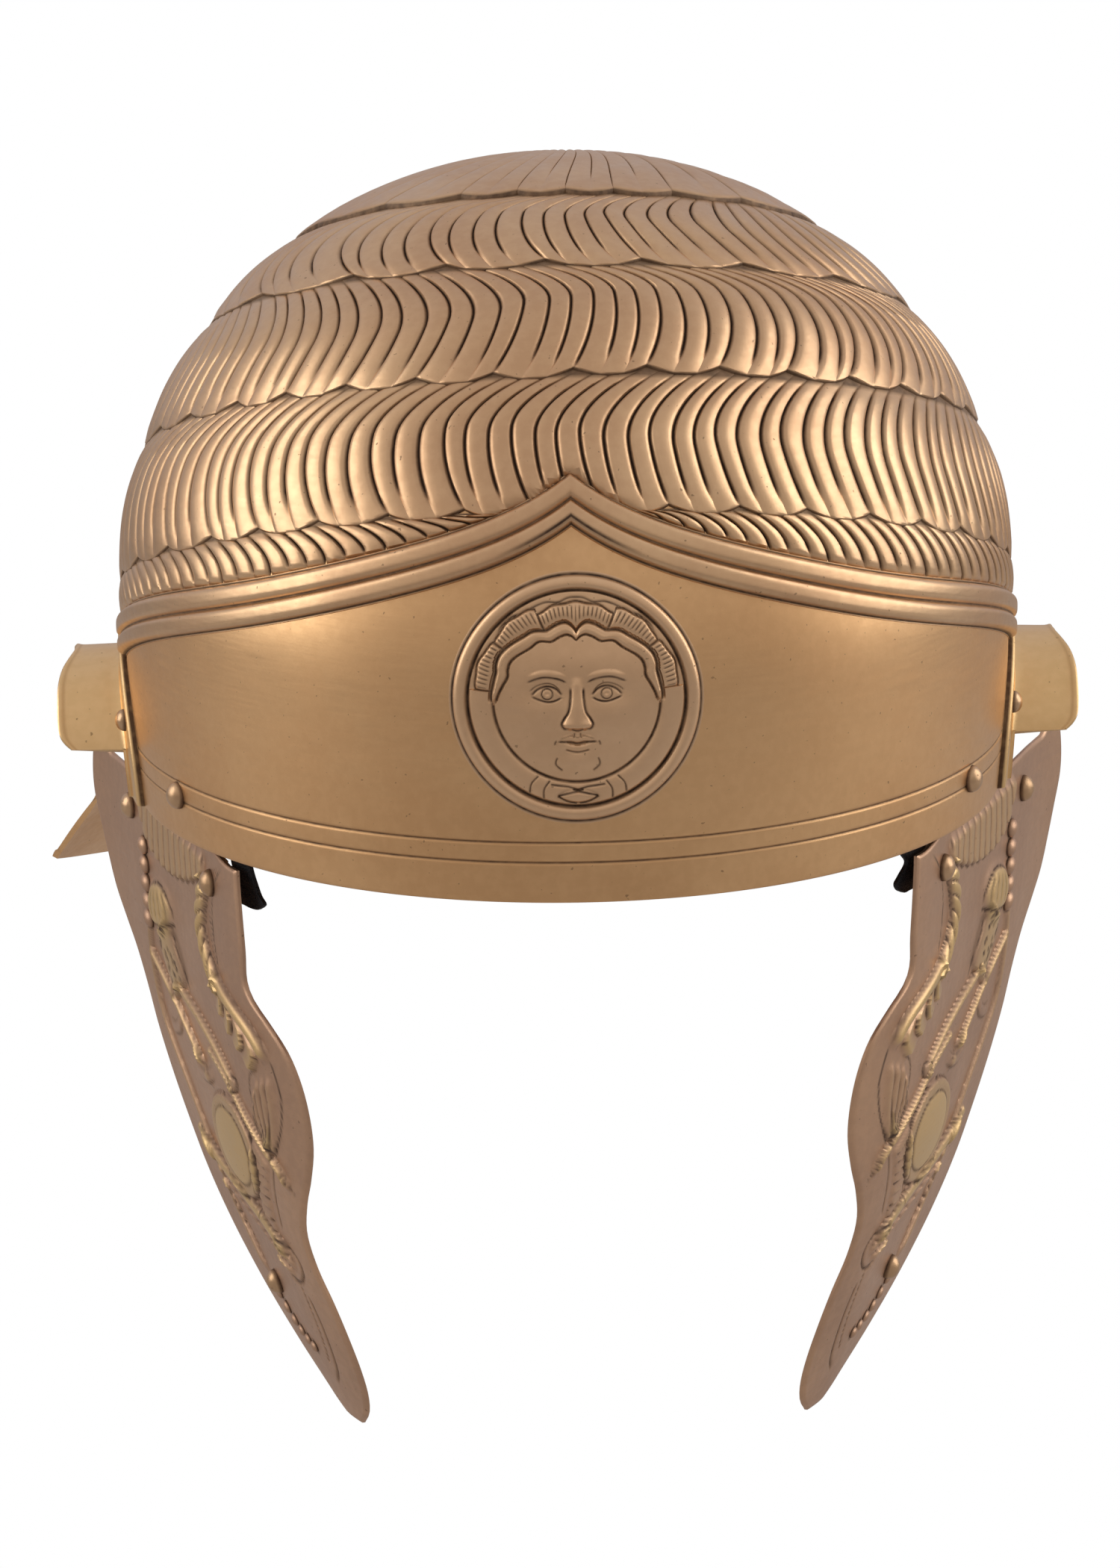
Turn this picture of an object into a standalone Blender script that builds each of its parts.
"""Roman cavalry helmet of the auxiliaries: a brass bowl embossed with hair, ear guards, hinged cheek pieces.

Metres, +Z up. The origin is the centre of the head opening, level with the brow rim.
The helmet faces -Y, and +X is the viewer's right.
"""
import math

import bmesh
import bpy
from mathutils import Matrix, Vector

MM = 0.001

# Bowl, measured on its outer surface
BOWL_HALF_WIDTH = 103.5 * MM
BOWL_FRONT = 120.0 * MM
BOWL_BACK = 122.0 * MM
BELT_HEIGHT = 44.0 * MM
DOME_RISE = 101.0 * MM
DOME_POWER = 2.04
RIM_TAPER = 0.02
BOWL_SHEET = 1.4 * MM
CROWN_SETBACK = 46.0 * MM

# Hair tiers, each bounded by a plane that rises towards the brow
HAIR_TILT = 0.34
HAIR_RELIEF = 1.3 * MM
TIER_FOOT = 0.6 * MM
TIER_LEVEL_SHARES = (0.914, 0.772, 0.565, 0.359)
TIER_STEPS = ((0.0, 0.0), (0.35, 0.8), (0.7, 1.0), (1.0, 0.9))
CROWN_STEPS = ((0.5, 1.0), (1.0, 0.9))

# Diadem: a plain band under two raised ridges that meet in a peak over the brow
DIADEM_LEVEL = 39.5 * MM
DIADEM_PEAK_RISE = 18.0 * MM
DIADEM_PEAK_SPREAD = math.radians(13.5)
RIDGE_PITCH = 5.0 * MM
RIDGE_HEIGHT = 1.8 * MM
RIDGE_STEPS = ((0.2, 0.75), (0.5, 1.0), (0.8, 0.75), (1.0, 0.0))
DIADEM_FADE_START = math.radians(112.0)
DIADEM_FADE_END = math.radians(140.0)

# Medallion on the brow
MEDALLION_HEIGHT = 46.8 * MM
MEDALLION_RADIUS = 28.5 * MM
MEDALLION_LEAN = 0.96
MEDALLION_RELIEF = 1.6 * MM
MEDALLION_SIDES = 24
MEDALLION_RINGS = (
    # share of the radius, share of the relief
    (1.0, 0.05), (0.97, 0.75), (0.93, 1.0), (0.9, 0.75), (0.87, 0.15),
    (0.77, 0.5), (0.67, 0.2), (0.5, 0.9), (0.28, 1.3),
)

# Nape and neck guard
NAPE_DROP = 18.0 * MM
GUARD_START = math.radians(108.0)
GUARD_SIDE_REACH = 25.0 * MM
GUARD_BACK_REACH = 43.0 * MM
GUARD_CENTRE_SETBACK = 60.0 * MM
GUARD_CORNER_ANGLE = math.radians(80.0)
GUARD_CORNER_DROP = 37.0 * MM
GUARD_BACK_DROP = 50.0 * MM
GUARD_STEPS = (0.18, 0.4, 0.62, 0.84, 1.0)
GUARD_RIDGE_HEIGHT = 1.2 * MM

# Ear openings and ear guards
EAR_SETBACK = 12.0 * MM
EAR_ARCH_HEIGHT = 2.0 * MM
EAR_OPENING_RADIUS = 26.0 * MM
EAR_EDGE_MARGIN = 1.0 * MM
EAR_FLANGE_WIDTH = 10.5 * MM
EAR_FOOT_DROP = 1.5 * MM
EAR_PEAK_REACH = 13.5 * MM
EAR_PEAK_HALF_ANGLE = math.radians(70.0)
EAR_PEAK_TURNS = (-1.0, -0.97, -0.85, -0.6, -0.3, 0.0, 0.3, 0.6, 0.85, 0.97, 1.0)
EAR_SHEET = 1.2 * MM
EAR_STANDOFF = 0.8 * MM
EAR_STEP_LENGTH = 9.0 * MM
EAR_RIVET_ANGLE = math.radians(59.0)

# Cheek pieces
CHEEK_SHEET = 1.2 * MM
CHEEK_TOP_GAP = 1.2 * MM
CHEEK_DROP = 136.0 * MM
CHEEK_LENGTH = 115.0 * MM
CHEEK_BEND_RADIUS = 357.0 * MM
CHEEK_WRAP_START = 4.0 * MM
CHEEK_WRAP_RADIUS = 70.0 * MM
CHEEK_FLARE_START = 90.0 * MM
CHEEK_FLARE_RADIUS = 144.0 * MM
CHEEK_COLUMNS = 10
CHEEK_RELIEF = 1.2 * MM
CHEEK_CORNER_DROP = 1.5 * MM
CHEEK_CORNER_LENGTH = 14.0 * MM
LOBE_RISE = 5.0 * MM
LOBE_START_SHARE = 0.88
LOBE_FADE_SHARE = 0.09
CHEEK_OUTLINE = (
    # share of the drop, front edge and rear edge as shares of the length
    (0.00, -0.083, 0.975), (0.03, -0.084, 0.993), (0.08, -0.087, 1.000), (0.15, -0.089, 0.970),
    (0.20, -0.083, 0.948), (0.23, -0.104, 0.935), (0.26, -0.155, 0.917), (0.30, -0.205, 0.880),
    (0.35, -0.231, 0.830), (0.41, -0.239, 0.792), (0.47, -0.230, 0.770), (0.53, -0.200, 0.738),
    (0.58, -0.165, 0.708), (0.64, -0.133, 0.670), (0.70, -0.135, 0.633), (0.76, -0.156, 0.574),
    (0.82, -0.167, 0.487), (0.88, -0.169, 0.361), (0.93, -0.158, 0.209), (0.97, -0.130, 0.052),
    (1.00, -0.085, -0.035),
)
CHEEK_FORMS = (
    # raised form: centre and half size along the length and down the drop, as shares, then its height share
    (0.42, 0.10, 0.38, 0.10, 0.8), (0.50, 0.40, 0.26, 0.22, 0.9), (0.34, 0.58, 0.16, 0.12, 1.5),
    (0.16, 0.72, 0.16, 0.20, 0.8),
)

# Hinges of the cheek pieces
HINGE_FRONT_Y = -65.0 * MM
HINGE_REAR_Y = -20.0 * MM
HINGE_FRONT_TUCK = 1.7 * MM
HINGE_REAR_TUCK_RIGHT = 1.5 * MM
HINGE_REAR_TUCK_LEFT = 4.5 * MM
LEAF_THICKNESS = 1.0 * MM
LEAF_STANDOFF = 0.9 * MM
LEAF_START = 4.0 * MM
LEAF_END_MARGIN = 3.5 * MM
LEAF_RISE = 24.0 * MM
LEAF_DROP = 14.5 * MM
KNUCKLES = 5
KNUCKLE_RADIUS = 1.9 * MM
KNUCKLE_GAP = 0.5 * MM
KNUCKLE_SIDES = 10
PIN_RADIUS = 0.9 * MM
PIN_CLEARANCE = 0.35 * MM
PIN_HEAD_RADIUS = 1.5 * MM
PIN_HEAD_LENGTH = 1.0 * MM
AXIS_DROP = 1.5 * MM

# Rivets
RIVET_SHANK_RADIUS = 1.4 * MM
RIVET_HEAD_RADIUS = 3.1 * MM
RIVET_HEAD_HEIGHT = 1.9 * MM
RIVET_END_RADIUS = 2.3 * MM
RIVET_END_HEIGHT = 0.8 * MM
RIVET_SIDES = 8
BOWL_RIVET_Y = -55.5 * MM
BOWL_RIVET_HEIGHT = 10.6 * MM
CHEEK_RIVET_FRONT = 0.0696 * CHEEK_LENGTH
CHEEK_RIVET_REAR = 0.7304 * CHEEK_LENGTH
CHEEK_RIVET_DROP = 8.5 * MM
STUD_ALONG = 0.2 * CHEEK_LENGTH
STUD_DROP = 0.8125 * CHEEK_DROP

# Leather tabs
LEATHER_THICKNESS = 1.5 * MM
LEATHER_TAIL_DROP = 12.5 * MM
LEATHER_TAIL_SLOPE = 0.16
LEATHER_TUCK = 1.4 * MM
LEATHER_TOP_HEIGHT = 17.0 * MM
LEATHER_FRONT_Y = -75.5 * MM
LEATHER_TAIL_WIDTH = 8.0 * MM
LEATHER_BEND_START = 2.5 * MM
LEATHER_BEND_HEIGHT = 6.0 * MM
LEATHER_OUTLINE = (
    # share of the height above the rim (negative: of the tail below it), front and rear edge in tail widths
    (1.0, 0.25, 3.8), (0.75, 0.1, 4.1), (0.35, 0.0, 4.0), (0.2, 0.0, 1.3), (0.0, 0.0, 1.0),
    (-0.45, 0.05, 0.92), (-0.8, -0.05, 1.0), (-1.0, -0.25, 1.1),
)

GAP = 0.3 * MM
COLUMNS = 48
FIRST_GUARD_COLUMN = math.ceil(GUARD_START * COLUMNS / (2 * math.pi))
BAND_STEPS = (0.33, 0.67, 1.0)


def clear_scene():
    for ob in list(bpy.data.objects):
        bpy.data.objects.remove(ob, do_unlink=True)


clear_scene()
PARTS = bpy.data.collections.new("roman_auxiliary_helmet")
CUTTERS = bpy.data.collections.new("cutters")
for group in (PARTS, CUTTERS):
    bpy.context.scene.collection.children.link(group)


def material(name, colour, roughness, metallic):
    mat = bpy.data.materials.new(name)
    mat.use_nodes = True
    shader = mat.node_tree.nodes["Principled BSDF"]
    shader.inputs["Base Color"].default_value = (*colour, 1.0)
    shader.inputs["Roughness"].default_value = roughness
    shader.inputs["Metallic"].default_value = metallic
    return mat


BRASS = material("warm_brass", (0.62, 0.42, 0.22), 0.35, 1.0)
EAR_BRASS = material("yellow_brass", (0.66, 0.50, 0.24), 0.35, 1.0)
CHEEK_BRASS = material("cheek_brass", (0.55, 0.38, 0.22), 0.4, 1.0)
HINGE_BRASS = material("hinge_brass", (0.50, 0.36, 0.18), 0.45, 1.0)
RIVET_BRASS = material("rivet_brass", (0.68, 0.48, 0.24), 0.3, 1.0)
LEATHER = material("black_leather", (0.02, 0.02, 0.025), 0.6, 0.0)


# The bowl's base surface

def wall_share(z):
    """Share of the belt's plan size that the wall has at height z."""
    if z <= BELT_HEIGHT:
        return 1.0 - RIM_TAPER * min(1.0, (BELT_HEIGHT - z) / BELT_HEIGHT) ** 2
    rise = min(1.0, (z - BELT_HEIGHT) / DOME_RISE)
    return (1.0 - rise ** DOME_POWER) ** (1.0 / DOME_POWER)


def bowl_length(theta):
    return BOWL_FRONT if math.cos(theta) > 0 else BOWL_BACK


def bowl_point(theta, z, lift=0.0):
    """Point of the bowl's outer surface; theta is 0 at the brow and turns towards +X."""
    share = wall_share(z)
    across, along = math.sin(theta), -math.cos(theta)
    length = bowl_length(theta)
    point = Vector((BOWL_HALF_WIDTH * share * across, length * share * along, z))
    if lift:
        point += lift * bowl_normal(theta, z)
    return point


def bowl_normal(theta, z):
    length = bowl_length(theta)
    normal = Vector((math.sin(theta) / BOWL_HALF_WIDTH, -math.cos(theta) / length, 0.0))
    if z > BELT_HEIGHT:
        rise = (z - BELT_HEIGHT) / DOME_RISE
        share = max(wall_share(z), 1e-4)
        normal.z = rise ** (DOME_POWER - 1) / (DOME_RISE * share ** (DOME_POWER - 1))
    return normal.normalized()


def bowl_x(y, z):
    """Half width of the bowl's outer surface at y and height z."""
    share = wall_share(z)
    length = BOWL_FRONT if y < 0 else BOWL_BACK
    return BOWL_HALF_WIDTH * math.sqrt(max(0.0, share ** 2 - (y / length) ** 2))


APEX = BELT_HEIGHT + DOME_RISE
CROWN = bowl_point(math.pi, BELT_HEIGHT + DOME_RISE * (1 - (CROWN_SETBACK / BOWL_BACK) ** DOME_POWER)
                   ** (1 / DOME_POWER))
TIER_LEVELS = [share * APEX for share in TIER_LEVEL_SHARES]


def tilted_height(theta, level):
    """Height where the plane through level on the bowl's axis, rising to the brow, meets the wall."""
    low = -APEX
    high = APEX * 0.9999 if math.cos(theta) > 0 else CROWN.z
    for _ in range(40):
        mid = 0.5 * (low + high)
        if mid + HAIR_TILT * bowl_point(theta, mid).y < level:
            low = mid
        else:
            high = mid
    return 0.5 * (low + high)


def turned(theta):
    """Angle from the brow, the same to both sides."""
    return abs((theta + math.pi) % (2 * math.pi) - math.pi)


def diadem_height(theta):
    """Top of the diadem's ridges: a tilted plane that swings up to a peak over the brow."""
    return tilted_height(theta, DIADEM_LEVEL) + DIADEM_PEAK_RISE * math.exp(-turned(theta) / DIADEM_PEAK_SPREAD)


def smooth(value):
    value = min(1.0, max(0.0, value))
    return value * value * (3 - 2 * value)


def ridge_fade(theta):
    return 1.0 - smooth((turned(theta) - DIADEM_FADE_START) / (DIADEM_FADE_END - DIADEM_FADE_START))


def nape_share(theta):
    """0 up to the neck guard's front edge, 1 at the middle of the nape."""
    edge = 2 * math.pi * FIRST_GUARD_COLUMN / COLUMNS
    return max(0.0, turned(theta) - edge) / (math.pi - edge)


def rim_height(theta):
    return -NAPE_DROP * smooth(nape_share(theta))


def bowl_rows(theta):
    """Points of one column of the bowl, from the crown down to the rim."""
    points = []
    top_ring = bowl_point(theta, tilted_height(theta, TIER_LEVELS[0]))
    for step, lift in CROWN_STEPS:
        plan = CROWN.lerp(top_ring, step)
        share = math.hypot(plan.x / BOWL_HALF_WIDTH, plan.y / (BOWL_FRONT if plan.y < 0 else BOWL_BACK))
        z = BELT_HEIGHT + DOME_RISE * (1 - share ** DOME_POWER) ** (1 / DOME_POWER)
        angle = math.atan2(plan.x / BOWL_HALF_WIDTH, -plan.y / (BOWL_FRONT if plan.y < 0 else BOWL_BACK))
        points.append(bowl_point(angle, z, lift * HAIR_RELIEF))
    for upper, lower in zip(TIER_LEVELS, TIER_LEVELS[1:]):
        top = tilted_height(theta, upper) - TIER_FOOT
        foot = tilted_height(theta, lower)
        for step, lift in TIER_STEPS:
            points.append(bowl_point(theta, top + (foot - top) * step, lift * HAIR_RELIEF))
    top = tilted_height(theta, TIER_LEVELS[-1]) - TIER_FOOT
    edge = min(diadem_height(theta), top - TIER_FOOT)
    points.append(bowl_point(theta, top))
    points.append(bowl_point(theta, 0.5 * (top + edge), 0.5 * HAIR_RELIEF))
    points.append(bowl_point(theta, edge))
    for ridge in range(2):
        for step, lift in RIDGE_STEPS:
            height = edge - RIDGE_PITCH * (ridge + step)
            points.append(bowl_point(theta, height, lift * RIDGE_HEIGHT * ridge_fade(theta)))
    band_top = edge - 2 * RIDGE_PITCH
    for step in BAND_STEPS:
        points.append(bowl_point(theta, band_top + (rim_height(theta) - band_top) * step))
    return points


def guard_rows(theta):
    """Points of one column of the neck guard, from the nape out to its edge."""
    share = nape_share(theta)
    side = math.copysign(1.0, math.sin(theta)) if abs(math.sin(theta)) > 1e-6 else 0.0
    start = bowl_point(theta, rim_height(theta))
    angle = GUARD_CORNER_ANGLE * (1 - share)
    half_width = BOWL_HALF_WIDTH + GUARD_SIDE_REACH
    half_depth = BOWL_BACK + GUARD_BACK_REACH - GUARD_CENTRE_SETBACK
    drop = GUARD_CORNER_DROP + (GUARD_BACK_DROP - GUARD_CORNER_DROP) * (1 - (1 - share) ** 3)
    edge = Vector((side * half_width * math.sin(angle), GUARD_CENTRE_SETBACK + half_depth * math.cos(angle), -drop))
    lean = 0.5 - 0.35 * share
    bend = start.lerp(edge, lean)
    bend.z = start.z + (edge.z - start.z) * (0.25 + 0.4 * share)
    points = []
    for step in GUARD_STEPS:
        point = start * (1 - step) ** 2 + bend * (2 * step * (1 - step)) + edge * step ** 2
        point.z += GUARD_RIDGE_HEIGHT * (1.0 if step == GUARD_STEPS[2] else 0.0)
        points.append(point)
    return points


def add_object(name, bm, mat, collection=PARTS, side=1):
    """Make an object of a bmesh built for the +X side; the other side is its mirror image."""
    if side < 0:
        bm.transform(Matrix.Diagonal((-1, 1, 1, 1)))
        bmesh.ops.reverse_faces(bm, faces=bm.faces)
    mesh = bpy.data.meshes.new(name)
    bm.to_mesh(mesh)
    bm.free()
    mesh.shade_smooth()
    mesh.set_sharp_from_angle(angle=math.radians(40))
    ob = bpy.data.objects.new(name, mesh)
    collection.objects.link(ob)
    if mat:
        mesh.materials.append(mat)
    if collection == CUTTERS:
        ob.hide_render = True
        ob.display_type = 'WIRE'
    return ob


def solidify(ob, thickness, even=False):
    mod = ob.modifiers.new("sheet", 'SOLIDIFY')
    mod.thickness = thickness
    mod.offset = -1.0
    mod.use_even_offset = even
    mod.use_quality_normals = True


def boolean(ob, other, operation='DIFFERENCE'):
    mod = ob.modifiers.new(other.name, 'BOOLEAN')
    mod.operation = operation
    mod.solver = 'EXACT'
    mod.object = other


def grid_faces(bm, rows, closed=False):
    """Quads between rows of vertices; rows run so that the faces look outward."""
    for upper, lower in zip(rows, rows[1:]):
        count = len(upper)
        for i in range(count if closed else count - 1):
            j = (i + 1) % count
            bm.faces.new((upper[i], lower[i], lower[j], upper[j]))


def cylinder(bm, radius, start, end, sides):
    """A capped cylinder between two points."""
    axis = end - start
    turn = axis.to_track_quat('Z', 'Y').to_matrix().to_4x4()
    place = Matrix.Translation(0.5 * (start + end)) @ turn
    bmesh.ops.create_cone(bm, cap_ends=True, segments=sides, radius1=radius, radius2=radius,
                          depth=axis.length, matrix=place)


def block(bm, low, high):
    """A box between two corners."""
    centre = 0.5 * (low + high)
    size = high - low
    bmesh.ops.create_cube(bm, size=1.0, matrix=Matrix.Translation(centre) @ Matrix.Diagonal((*size, 1.0)))


CHEEK_TOP = -CHEEK_TOP_GAP
LEAF_FACE = -(CHEEK_SHEET + GAP + LEAF_STANDOFF)
AXIS_DEPTH = LEAF_FACE - KNUCKLE_RADIUS
AXIS_HEIGHT = -AXIS_DROP
HOLE_RADIUS = RIVET_SHANK_RADIUS + GAP
EAR_INNER = EAR_OPENING_RADIUS + EAR_EDGE_MARGIN
EAR_OUTER = EAR_INNER + EAR_FLANGE_WIDTH
UP = Vector((0.0, 0.0, 1.0))


def ear_ring(angle, radius):
    """y and z on a ring round the ear; angle is 0 at its top and positive to the back."""
    return (EAR_SETBACK + radius * math.sin(angle), EAR_ARCH_HEIGHT + radius * math.cos(angle))


EAR_RIVET_RADIUS = 0.5 * (EAR_INNER + EAR_SHEET + EAR_OUTER)
EAR_RIVETS = [ear_ring(angle, EAR_RIVET_RADIUS) for angle in (-EAR_RIVET_ANGLE, EAR_RIVET_ANGLE)]


class HingePlane:
    """The upright plane that a cheek piece's top and its hinge lie in, as set on the +X side.

    The two sides are bent up by hand, so the left plane stands a little nearer the head at the back.
    """

    def __init__(self, rear_tuck):
        self.front = Vector((bowl_x(HINGE_FRONT_Y, 0.0) - BOWL_SHEET - HINGE_FRONT_TUCK, HINGE_FRONT_Y, 0.0))
        rear = Vector((bowl_x(HINGE_REAR_Y, 0.0) - BOWL_SHEET - rear_tuck, HINGE_REAR_Y, 0.0))
        self.along = (rear - self.front).normalized()
        self.outward = Vector((self.along.y, -self.along.x, 0.0))
        self.frame = Matrix.Translation(self.front) @ Matrix((self.outward, self.along, UP)).transposed().to_4x4()
        self.leaf_end = self.along_at(EAR_RIVETS[0][0], LEAF_FACE) + LEAF_END_MARGIN

    def place(self, outward, along, up):
        """World place of a point given outward from the plane, along it from the front, and up."""
        return self.front + outward * self.outward + along * self.along + up * UP

    def along_at(self, y, outward=0.0):
        """How far along the plane a point at world y lies."""
        return (y - self.front.y - outward * self.outward.y) / self.along.y

    def cheek_point(self, along, z, lift=0.0):
        """Point of the cheek piece's outer face."""
        return self.place(cheek_depth(along, z) + lift, along, z)

    def cheek_normal(self, along, z):
        step = 0.1 * MM
        down = self.cheek_point(along, z - step) - self.cheek_point(along, z + step)
        back = self.cheek_point(along + step, z) - self.cheek_point(along - step, z)
        return down.cross(back).normalized()

    def depth_to_leaf(self, seat, outward):
        """Length from a rivet's seat to behind the hinge leaf, with room for the clenched end to lie askew."""
        back = self.place(LEAF_FACE - LEAF_THICKNESS, 0.0, 0.0)
        lean = outward.dot(self.outward)
        return ((seat - back).dot(self.outward) + RIVET_END_RADIUS * math.sqrt(1 - lean ** 2)) / lean

    def knuckle_ends(self, index):
        """Start and end along the hinge of one knuckle."""
        pitch = (self.leaf_end - LEAF_START) / KNUCKLES
        start = LEAF_START + index * pitch
        return start + 0.5 * KNUCKLE_GAP, start + pitch - 0.5 * KNUCKLE_GAP


def cheek_depth(along, z):
    """How far outward of the hinge plane the cheek piece's outer face lies."""
    bend = z ** 2 / (2 * CHEEK_BEND_RADIUS)
    wrap = max(0.0, CHEEK_WRAP_START - along) ** 2 / (2 * CHEEK_WRAP_RADIUS)
    flare = max(0.0, along - CHEEK_FLARE_START) ** 2 / (2 * CHEEK_FLARE_RADIUS)
    return flare - bend - wrap


def ear_x(y, z):
    """Inner face of the ear guard's flange: near the bowl low down, clear of the diadem's ridges higher up."""
    ridge_foot = DIADEM_LEVEL - HAIR_TILT * y - 2 * RIDGE_PITCH
    step_out = RIDGE_HEIGHT * smooth((z - ridge_foot) / EAR_STEP_LENGTH + 1.0)
    return bowl_x(y, min(z, BELT_HEIGHT)) + GAP + EAR_STANDOFF + step_out


def ear_normal(y, z):
    """Outward normal of the ear guard's flange."""
    step = 0.1 * MM
    slope = (ear_x(y + step, z) - ear_x(y - step, z)) / (2 * step)
    return Vector((1.0, -slope, 0.0)).normalized()


def rivet_cutter(name, seat, outward, depth, side):
    """A clearance hole for a rivet's shank, through everything between its two heads."""
    bm = bmesh.new()
    cylinder(bm, HOLE_RADIUS, seat + outward * RIVET_HEAD_HEIGHT, seat - outward * (depth + RIVET_HEAD_HEIGHT),
             RIVET_SIDES)
    return add_object(name + "_hole", bm, None, CUTTERS, side)


def make_rivet(name, seat, outward, depth, side):
    """A turned rivet: domed head outside, shank, and a flat clenched end inside."""
    half_head = 0.72 * RIVET_HEAD_RADIUS
    profile = (
        (0.0, GAP + RIVET_HEAD_HEIGHT), (half_head, GAP + 0.72 * RIVET_HEAD_HEIGHT), (RIVET_HEAD_RADIUS, GAP),
        (RIVET_SHANK_RADIUS, GAP), (RIVET_SHANK_RADIUS, -depth - GAP), (RIVET_END_RADIUS, -depth - GAP),
        (RIVET_END_RADIUS, -depth - GAP - RIVET_END_HEIGHT), (0.0, -depth - GAP - RIVET_END_HEIGHT),
    )
    mesh = bpy.data.meshes.new(name)
    mesh.from_pydata([(x, 0.0, z) for x, z in profile], [(i, i + 1) for i in range(len(profile) - 1)], [])
    ob = bpy.data.objects.new(name, mesh)
    PARTS.objects.link(ob)
    mesh.materials.append(RIVET_BRASS)
    turn = ob.modifiers.new("turn", 'SCREW')
    turn.steps = RIVET_SIDES
    turn.render_steps = RIVET_SIDES
    turn.use_merge_vertices = True
    turn.merge_threshold = 0.00001
    turn.use_smooth_shade = True
    place = Vector((side * seat.x, seat.y, seat.z))
    facing = Vector((side * outward.x, outward.y, outward.z))
    ob.matrix_world = Matrix.Translation(place) @ facing.to_track_quat('Z', 'Y').to_matrix().to_4x4()
    return ob


def build_bowl():
    bm = bmesh.new()
    angles = [2 * math.pi * i / COLUMNS for i in range(COLUMNS)]
    columns = [bowl_rows(theta) for theta in angles]
    crown = bm.verts.new(CROWN + 0.5 * HAIR_RELIEF * UP)
    rows = [[bm.verts.new(column[i]) for column in columns] for i in range(len(columns[0]))]
    for i in range(COLUMNS):
        bm.faces.new((crown, rows[0][i], rows[0][(i + 1) % COLUMNS]))
    grid_faces(bm, rows, closed=True)
    guarded = range(FIRST_GUARD_COLUMN, COLUMNS - FIRST_GUARD_COLUMN + 1)
    guard_columns = [guard_rows(angles[i]) for i in guarded]
    guard = [[rows[-1][i] for i in guarded]]
    guard += [[bm.verts.new(column[i]) for column in guard_columns] for i in range(len(GUARD_STEPS))]
    grid_faces(bm, guard)
    bowl = add_object("bowl", bm, BRASS)
    solidify(bowl, BOWL_SHEET)
    boolean(bowl, medallion_boss(), 'UNION')
    for side in (1, -1):
        boolean(bowl, ear_cutter(side))
    return bowl


def face_relief(across, up):
    """Relief of a calm plain mask on the medallion: brow, nose and chin as soft swellings."""
    nose = math.exp(-(across / 0.11) ** 2) * smooth(1.0 - abs(up + 0.02) / 0.3)
    brow = 0.35 * math.exp(-((up - 0.2) / 0.07) ** 2) * smooth(1.2 - abs(across) / 0.35)
    chin = 0.35 * math.exp(-(across / 0.16) ** 2 - ((up + 0.42) / 0.12) ** 2)
    return nose + brow + chin


def medallion_point(across, up, lift):
    """Point over the medallion's middle; across and up are lengths on the bowl."""
    theta = math.asin(across / BOWL_HALF_WIDTH)
    return bowl_point(theta, MEDALLION_HEIGHT + MEDALLION_LEAN * up, lift)


def medallion_boss():
    """The medallion's raised ring and mask, sunk halfway into the sheet."""
    bm = bmesh.new()
    rows = []
    for share, lift in ((1.0, -0.5 * BOWL_SHEET / MEDALLION_RELIEF), *MEDALLION_RINGS):
        ring = []
        for i in range(MEDALLION_SIDES):
            angle = 2 * math.pi * i / MEDALLION_SIDES
            across, up = share * math.sin(angle), share * math.cos(angle)
            inside = smooth((0.7 - share) / 0.2)
            height = MEDALLION_RELIEF * (lift + 0.8 * inside * face_relief(across, up))
            ring.append(bm.verts.new(medallion_point(MEDALLION_RADIUS * across, MEDALLION_RADIUS * up, height)))
        rows.append(ring)
    grid_faces(bm, [list(reversed(ring)) for ring in rows][::-1], closed=True)
    top = bm.verts.new(medallion_point(0.0, 0.0, MEDALLION_RELIEF * (1.5 + 0.8 * face_relief(0.0, 0.0))))
    back = bm.verts.new(medallion_point(0.0, 0.0, -0.5 * BOWL_SHEET))
    for i in range(MEDALLION_SIDES):
        j = (i + 1) % MEDALLION_SIDES
        bm.faces.new((rows[-1][j], rows[-1][i], top))
        bm.faces.new((rows[0][i], rows[0][j], back))
    bmesh.ops.recalc_face_normals(bm, faces=bm.faces)
    return add_object("medallion_boss", bm, None, CUTTERS)


def arch_outline(radius, foot, steps):
    """Points of an arch from its front foot over the top to its rear foot."""
    points = [(EAR_SETBACK - radius, foot)]
    for i in range(steps + 1):
        points.append(ear_ring(math.pi * (i / steps - 0.5), radius))
    points.append((EAR_SETBACK + radius, foot))
    return points


def ear_cutter(side):
    """The ear opening: an arch that runs out through the bowl's rim."""
    bm = bmesh.new()
    outline = arch_outline(EAR_OPENING_RADIUS, -GUARD_CORNER_DROP, 12)
    inner_x = 0.6 * BOWL_HALF_WIDTH
    outer_x = BOWL_HALF_WIDTH + 2 * RIDGE_HEIGHT
    near = [bm.verts.new((inner_x, y, z)) for y, z in outline]
    far = [bm.verts.new((outer_x, y, z)) for y, z in outline]
    bm.faces.new(near)
    bm.faces.new(list(reversed(far)))
    for i in range(len(outline)):
        j = (i + 1) % len(outline)
        bm.faces.new((near[j], near[i], far[i], far[j]))
    bmesh.ops.recalc_face_normals(bm, faces=bm.faces)
    return add_object("ear_opening_" + side_name(side), bm, None, CUTTERS, side)


def side_name(side):
    return "right" if side > 0 else "left"


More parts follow.
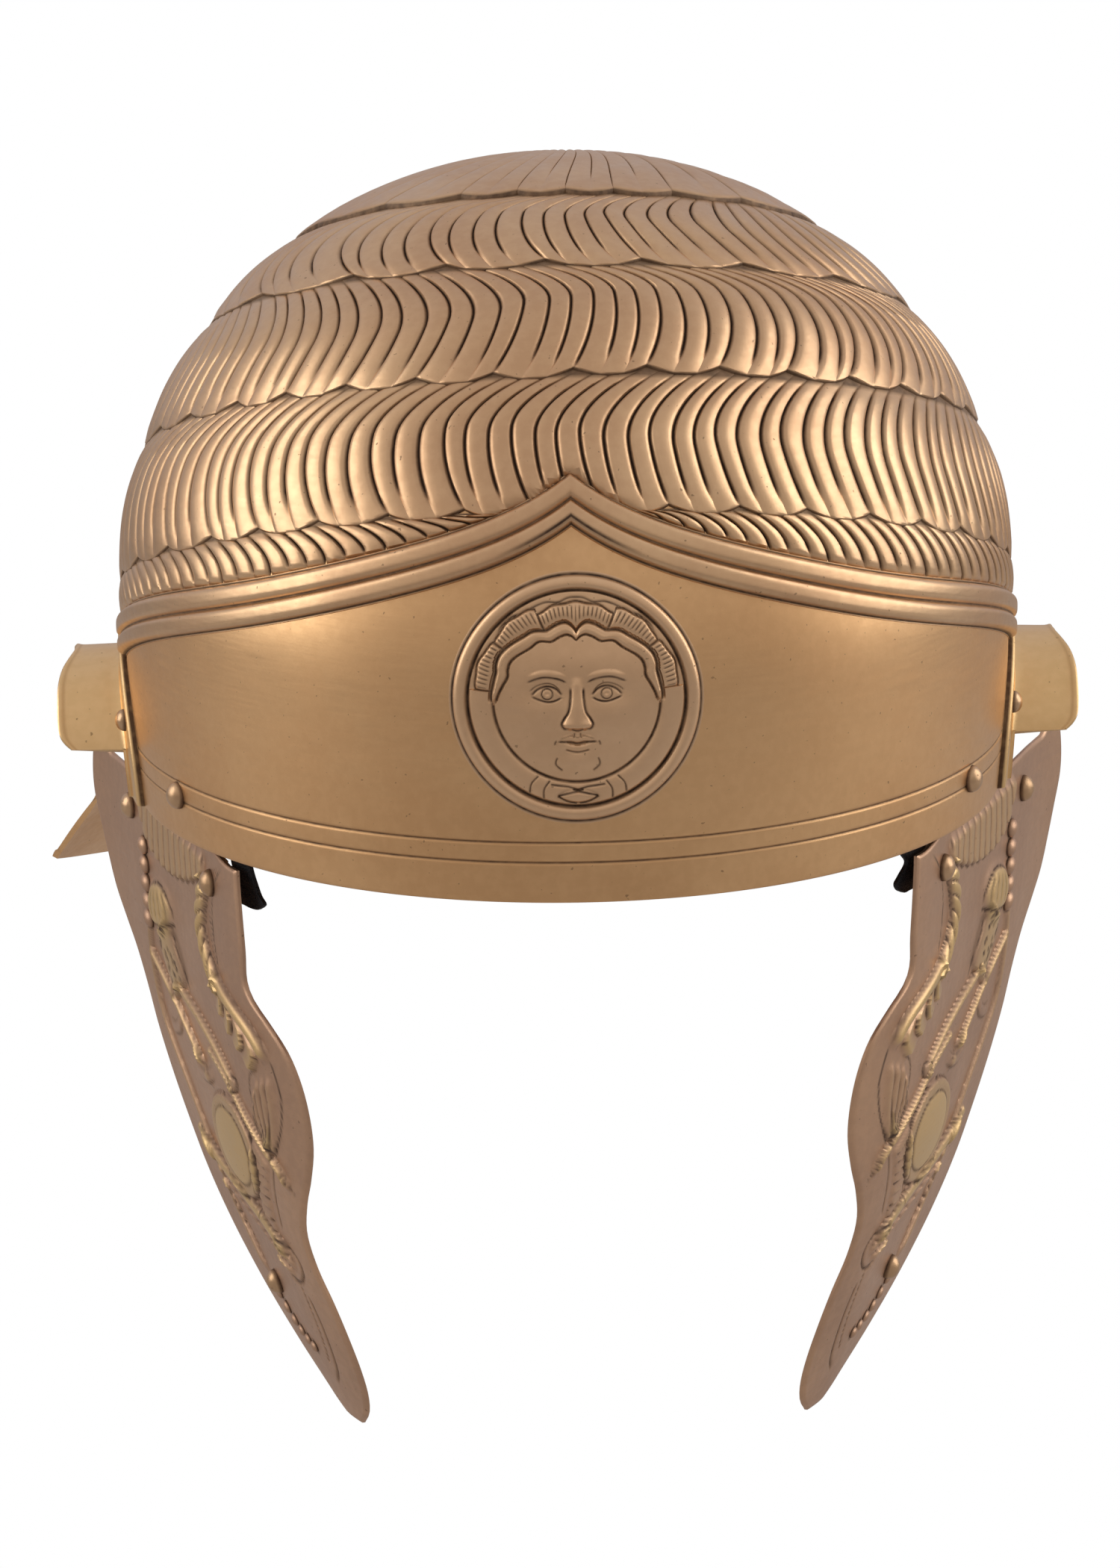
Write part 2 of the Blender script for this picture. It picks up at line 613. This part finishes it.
def build_ear_guard(side):
    """Ear guard: a flange round the ear opening, turned out into a peak over the ear."""
    name = "ear_guard_" + side_name(side)
    bm = bmesh.new()
    stations = [-math.pi / 2, *(EAR_PEAK_HALF_ANGLE * turn for turn in EAR_PEAK_TURNS), math.pi / 2]
    feet = [True, *(False for _ in stations), True]
    angles = [stations[0], *stations, stations[-1]]
    rows = []
    for angle, foot in zip(angles, feet):
        ring = []
        for radius in (EAR_OUTER, 0.5 * (EAR_OUTER + EAR_INNER + EAR_SHEET), EAR_INNER + EAR_SHEET):
            y, z = ear_ring(angle, radius)
            z -= EAR_FOOT_DROP if foot else 0.0
            ring.append(bm.verts.new((ear_x(y, z) + EAR_SHEET, y, z)))
        rows.append(ring)
    grid_faces(bm, rows)
    peak = []
    for row, angle in zip(rows[2:-2], stations[1:-1]):
        turn = abs(angle) / EAR_PEAK_HALF_ANGLE
        reach = EAR_PEAK_REACH * (1.0 - turn ** 6) ** (1 / 6) if turn < 0.999 else 0.35 * EAR_PEAK_REACH
        inner = row[-1]
        line = [inner]
        for share, lift in ((0.5, 0.0), (0.85, 0.25 * EAR_SHEET), (1.0, EAR_SHEET)):
            y, z = ear_ring(angle, EAR_INNER + EAR_SHEET - lift)
            line.append(bm.verts.new((inner.co.x + reach * share, y, z)))
        peak.append(line)
    grid_faces(bm, peak)
    bmesh.ops.recalc_face_normals(bm, faces=bm.faces)
    outward = max(bm.faces, key=lambda face: abs(face.normal.x) * (face.calc_center_median().z > 0))
    if outward.normal.x < 0:
        bmesh.ops.reverse_faces(bm, faces=bm.faces)
    guard = add_object(name, bm, EAR_BRASS, side=side)
    solidify(guard, EAR_SHEET, even=True)
    return guard


def form_lift(along_share, drop_share):
    """Low raised forms of the embossing, as soft ovals."""
    lift = 0.0
    for centre_along, centre_drop, half_along, half_drop, height in CHEEK_FORMS:
        away = math.hypot((along_share - centre_along) / half_along, (drop_share - centre_drop) / half_drop)
        lift = max(lift, height * smooth(1.0 - away))
    return lift * CHEEK_RELIEF


def build_cheek_piece(side, plane):
    """Cheek piece: a bent sheet with a notched front edge, a drawn-out chin and a lobe behind the ear."""
    name = "cheek_piece_" + side_name(side)
    bm = bmesh.new()
    rows = []
    for drop, front, rear in CHEEK_OUTLINE:
        row = []
        for i in range(CHEEK_COLUMNS):
            share = i / (CHEEK_COLUMNS - 1)
            share = share + 0.06 * math.sin(2 * math.pi * share)
            along_share = front + (rear - front) * share
            lobe = smooth((along_share - LOBE_START_SHARE) / (0.97 - LOBE_START_SHARE))
            near_top = max(0.0, 1.0 - drop / LOBE_FADE_SHARE)
            corner = smooth(0.5 - along_share * CHEEK_LENGTH / CHEEK_CORNER_LENGTH)
            z = CHEEK_TOP - CHEEK_DROP * drop + near_top * (LOBE_RISE * lobe - CHEEK_CORNER_DROP * corner)
            lift = form_lift(along_share, drop) if 0 < i < CHEEK_COLUMNS - 1 else 0.0
            row.append(bm.verts.new(plane.cheek_point(along_share * CHEEK_LENGTH, z, lift)))
        rows.append(row)
    grid_faces(bm, rows)
    cheek = add_object(name, bm, CHEEK_BRASS, side=side)
    solidify(cheek, CHEEK_SHEET)
    return cheek


def knuckle(bm, low, high, direction):
    """A knuckle rolled from the leaf: a round barrel with a web that runs into the leaf's plate."""
    inset = 0.05 * MM
    web_top = KNUCKLE_RADIUS + LEAF_THICKNESS + 1.5 * GAP
    outer, inner = KNUCKLE_RADIUS - inset, KNUCKLE_RADIUS - LEAF_THICKNESS + inset
    first = math.acos(inner / KNUCKLE_RADIUS)
    last = 2 * math.pi + math.acos(outer / KNUCKLE_RADIUS)
    outline = [(outer, web_top), (inner, web_top)]
    for i in range(KNUCKLE_SIDES):
        angle = first + (last - first) * i / (KNUCKLE_SIDES - 1)
        outline.append((KNUCKLE_RADIUS * math.cos(angle), KNUCKLE_RADIUS * math.sin(angle)))
    ends = [[bm.verts.new((AXIS_DEPTH + x, along, AXIS_HEIGHT + direction * z)) for x, z in outline]
            for along in (low, high)]
    bm.faces.new(ends[0])
    bm.faces.new(list(reversed(ends[1])))
    for i in range(len(outline)):
        j = (i + 1) % len(outline)
        bm.faces.new((ends[0][j], ends[0][i], ends[1][i], ends[1][j]))
    bmesh.ops.recalc_face_normals(bm, faces=bm.faces)


def build_leaf(side, plane, name, end, reach, direction, knuckles):
    """A hinge leaf: a plate with knuckles rolled round the pin; direction is 1 upward and -1 downward."""
    near = KNUCKLE_RADIUS + 1.5 * GAP
    bm = bmesh.new()
    heights = sorted((AXIS_HEIGHT + direction * near, AXIS_HEIGHT + direction * reach))
    block(bm, Vector((LEAF_FACE - LEAF_THICKNESS, LEAF_START, heights[0])), Vector((LEAF_FACE, end, heights[1])))
    bm.transform(plane.frame)
    leaf = add_object(name, bm, HINGE_BRASS, side=side)
    for index in knuckles:
        bm = bmesh.new()
        knuckle(bm, *plane.knuckle_ends(index), direction)
        bm.transform(plane.frame)
        boolean(leaf, add_object("%s_knuckle_%d" % (name, index), bm, None, CUTTERS, side), 'UNION')
    bm = bmesh.new()
    cylinder(bm, PIN_RADIUS + PIN_CLEARANCE, Vector((AXIS_DEPTH, LEAF_START - PIN_HEAD_LENGTH, AXIS_HEIGHT)),
             Vector((AXIS_DEPTH, plane.leaf_end + PIN_HEAD_LENGTH, AXIS_HEIGHT)), KNUCKLE_SIDES)
    bm.transform(plane.frame)
    boolean(leaf, add_object(name + "_pin_hole", bm, None, CUTTERS, side))
    return leaf


def build_pin(side, plane):
    """Hinge pin with a small head at each end."""
    start, end = LEAF_START + 0.5 * KNUCKLE_GAP - GAP, plane.leaf_end - 0.5 * KNUCKLE_GAP + GAP
    profile = (
        (0.0, end + PIN_HEAD_LENGTH), (PIN_HEAD_RADIUS, end + PIN_HEAD_LENGTH), (PIN_HEAD_RADIUS, end),
        (PIN_RADIUS, end), (PIN_RADIUS, start), (PIN_HEAD_RADIUS, start),
        (PIN_HEAD_RADIUS, start - PIN_HEAD_LENGTH), (0.0, start - PIN_HEAD_LENGTH),
    )
    name = "hinge_pin_" + side_name(side)
    mesh = bpy.data.meshes.new(name)
    mesh.from_pydata([(x, 0.0, z) for x, z in profile], [(i, i + 1) for i in range(len(profile) - 1)], [])
    pin = bpy.data.objects.new(name, mesh)
    PARTS.objects.link(pin)
    mesh.materials.append(HINGE_BRASS)
    turn = pin.modifiers.new("turn", 'SCREW')
    turn.steps = 10
    turn.render_steps = 10
    turn.use_merge_vertices = True
    turn.merge_threshold = 0.00001
    foot = plane.place(AXIS_DEPTH, 0.0, AXIS_HEIGHT)
    place = Vector((side * foot.x, foot.y, foot.z))
    along = Vector((side * plane.along.x, plane.along.y, 0.0))
    pin.matrix_world = Matrix.Translation(place) @ along.to_track_quat('Z', 'Y').to_matrix().to_4x4()
    return pin


def leather_depth(z):
    """How far the tab lies behind the bowl's outer face: against the wall, then inside the cheek piece."""
    bent = 1.0 - smooth((z - LEATHER_BEND_START) / LEATHER_BEND_HEIGHT)
    return BOWL_SHEET + GAP + bent * (CHEEK_SHEET + LEATHER_TUCK) + LEATHER_TAIL_SLOPE * max(0.0, -z)


def build_leather_tab(side):
    """End of a black leather strap, held by the front bowl rivet and hanging below the rim."""
    bm = bmesh.new()
    rows = []
    columns = 4
    for height, front, rear in LEATHER_OUTLINE:
        z = height * (LEATHER_TOP_HEIGHT if height > 0 else LEATHER_TAIL_DROP)
        row = []
        for i in range(columns):
            y = LEATHER_FRONT_Y + LEATHER_TAIL_WIDTH * (front + (rear - front) * i / (columns - 1))
            theta = math.acos(-y / (BOWL_FRONT * wall_share(z)))
            row.append(bm.verts.new(bowl_point(theta, z, -leather_depth(z))))
        rows.append(row)
    grid_faces(bm, rows)
    tab = add_object("leather_tab_" + side_name(side), bm, LEATHER, side=side)
    solidify(tab, LEATHER_THICKNESS)
    return tab


def build_side(side, bowl):
    """Everything that the helmet has once on each side."""
    word = side_name(side)
    plane = HingePlane(HINGE_REAR_TUCK_RIGHT if side > 0 else HINGE_REAR_TUCK_LEFT)
    guard = build_ear_guard(side)
    cheek = build_cheek_piece(side, plane)
    bowl_leaf = build_leaf(side, plane, "hinge_bowl_leaf_" + word, plane.leaf_end, LEAF_RISE, 1,
                           range(0, KNUCKLES, 2))
    cheek_leaf = build_leaf(side, plane, "hinge_cheek_leaf_" + word, CHEEK_RIVET_REAR + LEAF_END_MARGIN,
                            LEAF_DROP, -1, range(1, KNUCKLES, 2))
    build_pin(side, plane)
    tab = build_leather_tab(side)
    front_theta = math.acos(-BOWL_RIVET_Y / (BOWL_FRONT * wall_share(BOWL_RIVET_HEIGHT)))
    seat = bowl_point(front_theta, BOWL_RIVET_HEIGHT)
    outward = bowl_normal(front_theta, BOWL_RIVET_HEIGHT)
    drill(side, "bowl_rivet_" + word, seat, outward, plane.depth_to_leaf(seat, outward), (bowl, tab, bowl_leaf))
    for end, (y, z) in zip(("front", "rear"), EAR_RIVETS):
        seat = Vector((ear_x(y, z) + EAR_SHEET, y, z))
        outward = ear_normal(y, z)
        if end == "front":
            depth = plane.depth_to_leaf(seat, outward)
            plates = (guard, bowl, bowl_leaf)
        else:
            depth = EAR_SHEET + (ear_x(y, z) - bowl_x(y, z)) * outward.x + BOWL_SHEET + GAP
            plates = (guard, bowl)
        drill(side, "ear_rivet_%s_%s" % (end, word), seat, outward, depth, plates)
    moving = [cheek, cheek_leaf]
    for end, along in (("front", CHEEK_RIVET_FRONT), ("rear", CHEEK_RIVET_REAR)):
        z = CHEEK_TOP - CHEEK_RIVET_DROP
        seat = plane.cheek_point(along, z, form_lift(along / CHEEK_LENGTH, CHEEK_RIVET_DROP / CHEEK_DROP))
        outward = plane.cheek_normal(along, z)
        depth = plane.depth_to_leaf(seat, outward)
        rivet = drill(side, "cheek_rivet_%s_%s" % (end, word), seat, outward, depth, (cheek, cheek_leaf))
        moving.append(rivet)
    z = CHEEK_TOP - STUD_DROP
    seat = plane.cheek_point(STUD_ALONG, z, form_lift(STUD_ALONG / CHEEK_LENGTH, STUD_DROP / CHEEK_DROP))
    stud = drill(side, "cheek_stud_" + word, seat, plane.cheek_normal(STUD_ALONG, z), CHEEK_SHEET, (cheek,))
    moving.append(stud)
    middle = plane.place(AXIS_DEPTH, 0.5 * (LEAF_START + plane.leaf_end), AXIS_HEIGHT)
    hang(side, word, middle, moving)


def drill(side, name, seat, outward, depth, plates):
    """Cut a rivet's clearance hole through its plates and set the rivet in it."""
    cutter = rivet_cutter(name, seat, outward, depth, side)
    for plate in plates:
        boolean(plate, cutter)
    return make_rivet(name, seat, outward, depth, side)


def hang(side, word, middle, moving):
    """Parent one cheek piece and all that moves with it to an empty on the hinge's axis."""
    pivot = bpy.data.objects.new("cheek_pivot_" + word, None)
    pivot.location = (side * middle.x, middle.y, middle.z)
    PARTS.objects.link(pivot)
    bpy.context.view_layer.update()
    for ob in moving:
        ob.parent = pivot
        ob.matrix_parent_inverse = pivot.matrix_world.inverted()


def main():
    bowl = build_bowl()
    for side in (1, -1):
        build_side(side, bowl)
    bpy.context.view_layer.update()


main()
